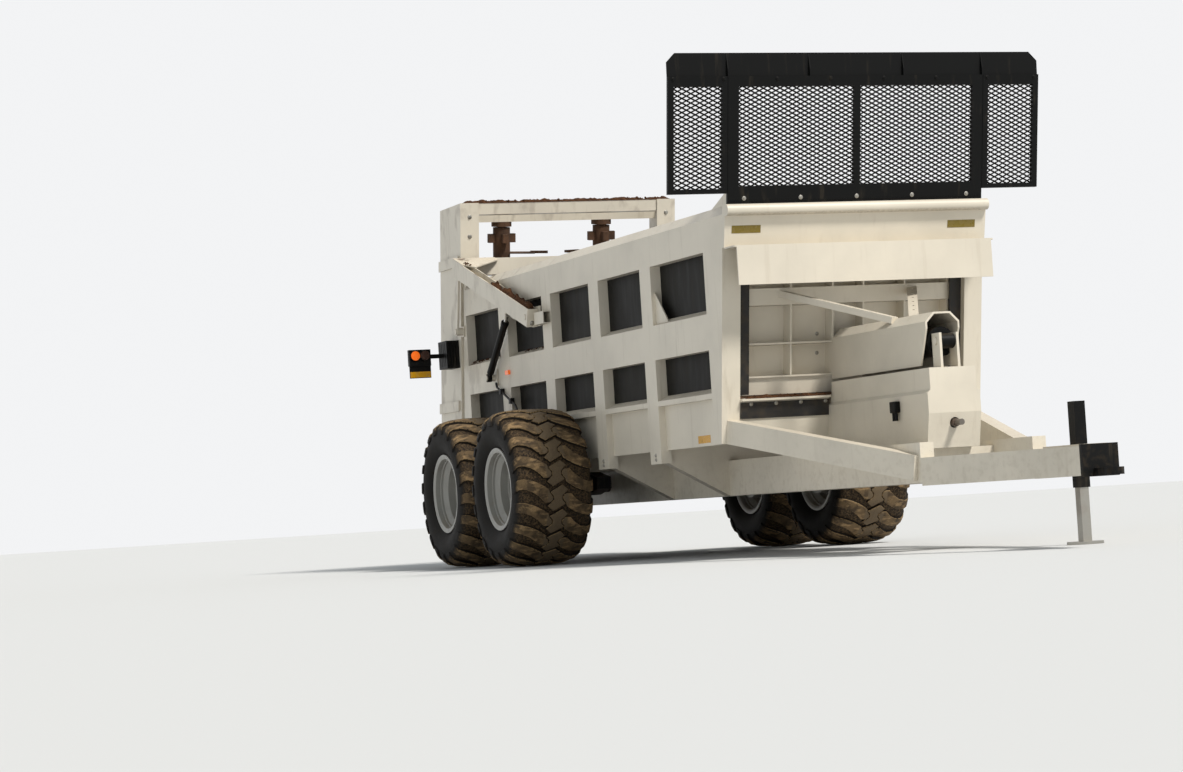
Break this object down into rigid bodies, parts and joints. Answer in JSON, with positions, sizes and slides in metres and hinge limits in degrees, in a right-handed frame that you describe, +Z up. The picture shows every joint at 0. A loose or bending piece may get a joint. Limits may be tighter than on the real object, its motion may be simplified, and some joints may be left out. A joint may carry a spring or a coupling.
{
  "type": "manure spreader",
  "caption": "Tandem-axle trailed manure spreader: open box with a pushed front wall, sliding endgate and upright beaters, on a drawbar with a jack",
  "frame": {"origin": "On the ground under the middle of the spreader's overall length and width", "axes": "+X forward to the hitch, +Y to the spreader's left, +Z up"},
  "size_m": [11.426, 3.7576, 3.8722],
  "materials": {
    "cream_paint": "semi-gloss cream paint, dusty",
    "frame_paint": "semi-gloss cream paint in shade, dusty",
    "black_paint": "satin black paint",
    "poly_panel": "dark grey sheet plastic",
    "rubber_strip": "black rubber sheet",
    "tyre_rubber": "dusty rubber",
    "rim_paint": "silver grey paint",
    "worn_steel": "bare steel",
    "rusty_steel": "brown rusted steel",
    "chromed_rod": "hard chromed",
    "lamp_plastic": "amber and red lenses"
  },
  "bodies": {
    "chassis": {"main_frame": "frame_paint", "tongue": "cream_paint", "hitch_eye": "black_paint", "jack_tube": "black_paint", "load_floor": "worn_steel", "side_right": "cream_paint", "side_left": "cream_paint", "liner_right": "poly_panel", "liner_left": "poly_panel", "front_wall": "cream_paint", "lower_front": "cream_paint", "seal_strips": "rubber_strip", "pedestal": "cream_paint", "guard_frame": "black_paint", "guard_mesh": "black_paint", "push_barrel": "black_paint", "rear_frame": "cream_paint", "rear_shields": "frame_paint", "beater_drives": "black_paint", "walking_beams": "black_paint", "lamp_housings": "black_paint", "lamp_lenses": "lamp_plastic"},
    "jack": {"jack_leg": "worn_steel"},
    "pusher": {"push_gate": "cream_paint", "push_nose": "cream_paint", "push_braces": "cream_paint", "push_ram": "chromed_rod"},
    "stage_1": {"push_stage_1": "chromed_rod"},
    "stage_2": {"push_stage_2": "chromed_rod"},
    "stage_3": {"push_stage_3": "chromed_rod"},
    "gate": {"endgate": "cream_paint"},
    "lift": {"lift_frame": "cream_paint"},
    "link_r": {"link_right": "frame_paint"},
    "link_l": {"link_left": "frame_paint"},
    "cylinder_r": {"lift_barrel_right": "black_paint"},
    "cylinder_l": {"lift_barrel_left": "black_paint"},
    "rod_r": {"lift_rod_right": "chromed_rod"},
    "rod_l": {"lift_rod_left": "chromed_rod"},
    "beater_r": {"beater_right": "rusty_steel"},
    "beater_l": {"beater_left": "rusty_steel"},
    "shaft": {"drive_shaft": "worn_steel"},
    "wheel_front_r": {"tyre_front_right": "tyre_rubber", "rim_front_right": "rim_paint"},
    "wheel_rear_r": {"tyre_rear_right": "tyre_rubber", "rim_rear_right": "rim_paint"},
    "wheel_front_l": {"tyre_front_left": "tyre_rubber", "rim_front_left": "rim_paint"},
    "wheel_rear_l": {"tyre_rear_left": "tyre_rubber", "rim_rear_left": "rim_paint"}
  },
  "joints": [
    {"name": "push_slide", "type": "slide", "parent": "chassis", "child": "pusher", "axis": [-1, 0, 0], "range_m": [0, 5.8]},
    {"name": "stage_1_slide", "type": "slide", "parent": "chassis", "child": "stage_1", "axis": [-1, 0, 0], "range_m": [0, 1.45]},
    {"name": "stage_2_slide", "type": "slide", "parent": "chassis", "child": "stage_2", "axis": [-1, 0, 0], "range_m": [0, 2.9]},
    {"name": "stage_3_slide", "type": "slide", "parent": "chassis", "child": "stage_3", "axis": [-1, 0, 0], "range_m": [0, 4.35]},
    {"name": "gate_slide", "type": "slide", "parent": "chassis", "child": "gate", "axis": [0.1668, 0, 0.986], "range_m": [0, 1.05]},
    {"name": "lift_hinge", "type": "hinge", "parent": "chassis", "child": "lift", "pos_m": [-2.36202, 0, 2.23], "axis": [0, 1, 0], "range_deg": [0, 26.91]},
    {"name": "link_r_hinge", "type": "hinge", "parent": "lift", "child": "link_r", "pos_m": [-4.34356, -1.193, 2.86239], "axis": [0, 1, 0], "range_deg": [0, 9.24]},
    {"name": "cylinder_r_hinge", "type": "hinge", "parent": "chassis", "child": "cylinder_r", "pos_m": [-3.62202, -1.193, 1.754], "axis": [0, 1, 0], "range_deg": [-6.62, 0]},
    {"name": "rod_r_slide", "type": "slide", "parent": "cylinder_r", "child": "rod_r", "axis": [0.7591, 0, 0.651], "range_m": [0, 0.25815]},
    {"name": "link_l_hinge", "type": "hinge", "parent": "lift", "child": "link_l", "pos_m": [-4.34356, 1.193, 2.86239], "axis": [0, 1, 0], "range_deg": [0, 9.24]},
    {"name": "cylinder_l_hinge", "type": "hinge", "parent": "chassis", "child": "cylinder_l", "pos_m": [-3.62202, 1.193, 1.754], "axis": [0, 1, 0], "range_deg": [-6.62, 0]},
    {"name": "rod_l_slide", "type": "slide", "parent": "cylinder_l", "child": "rod_l", "axis": [0.7591, 0, 0.651], "range_m": [0, 0.25815]},
    {"name": "beater_r_spin", "type": "hinge", "parent": "chassis", "child": "beater_r", "pos_m": [-5.28681, -0.53, 1.12], "axis": [0.1668, 0, 0.986], "continuous": true},
    {"name": "beater_l_spin", "type": "hinge", "parent": "chassis", "child": "beater_l", "pos_m": [-5.28681, 0.53, 1.12], "axis": [0.1668, 0, 0.986], "continuous": true},
    {"name": "shaft_spin", "type": "hinge", "parent": "chassis", "child": "shaft", "pos_m": [1.69798, 0, 0.93], "axis": [1, 0, 0], "continuous": true},
    {"name": "jack_slide", "type": "slide", "parent": "chassis", "child": "jack", "axis": [0, 0, 1], "range_m": [0, 0.35]},
    {"name": "wheel_front_r_spin", "type": "hinge", "parent": "chassis", "child": "wheel_front_r", "pos_m": [-1.67202, -1.52, 0.685], "axis": [0, 1, 0], "continuous": true},
    {"name": "wheel_front_l_spin", "type": "hinge", "parent": "chassis", "child": "wheel_front_l", "pos_m": [-1.67202, 1.52, 0.685], "axis": [0, 1, 0], "continuous": true},
    {"name": "wheel_rear_r_spin", "type": "hinge", "parent": "chassis", "child": "wheel_rear_r", "pos_m": [-3.18202, -1.52, 0.685], "axis": [0, 1, 0], "continuous": true},
    {"name": "wheel_rear_l_spin", "type": "hinge", "parent": "chassis", "child": "wheel_rear_l", "pos_m": [-3.18202, 1.52, 0.685], "axis": [0, 1, 0], "continuous": true}
  ],
  "couplings": [
    {"joint": "stage_1_slide", "follows": "push_slide", "ratio": 0.25},
    {"joint": "stage_2_slide", "follows": "push_slide", "ratio": 0.5},
    {"joint": "stage_3_slide", "follows": "push_slide", "ratio": 0.75},
    {"joint": "lift_hinge", "follows": "gate_slide", "rad_per_m": 0.44725},
    {"joint": "link_r_hinge", "follows": "gate_slide", "rad_per_m": 0.15356},
    {"joint": "cylinder_r_hinge", "follows": "gate_slide", "rad_per_m": -0.10997},
    {"joint": "rod_r_slide", "follows": "gate_slide", "ratio": 0.24585},
    {"joint": "link_l_hinge", "follows": "gate_slide", "rad_per_m": 0.15356},
    {"joint": "cylinder_l_hinge", "follows": "gate_slide", "rad_per_m": -0.10997},
    {"joint": "rod_l_slide", "follows": "gate_slide", "ratio": 0.24585},
    {"joint": "beater_l_spin", "follows": "beater_r_spin", "ratio": -1},
    {"joint": "shaft_spin", "follows": "beater_r_spin", "ratio": 2.5}
  ]
}
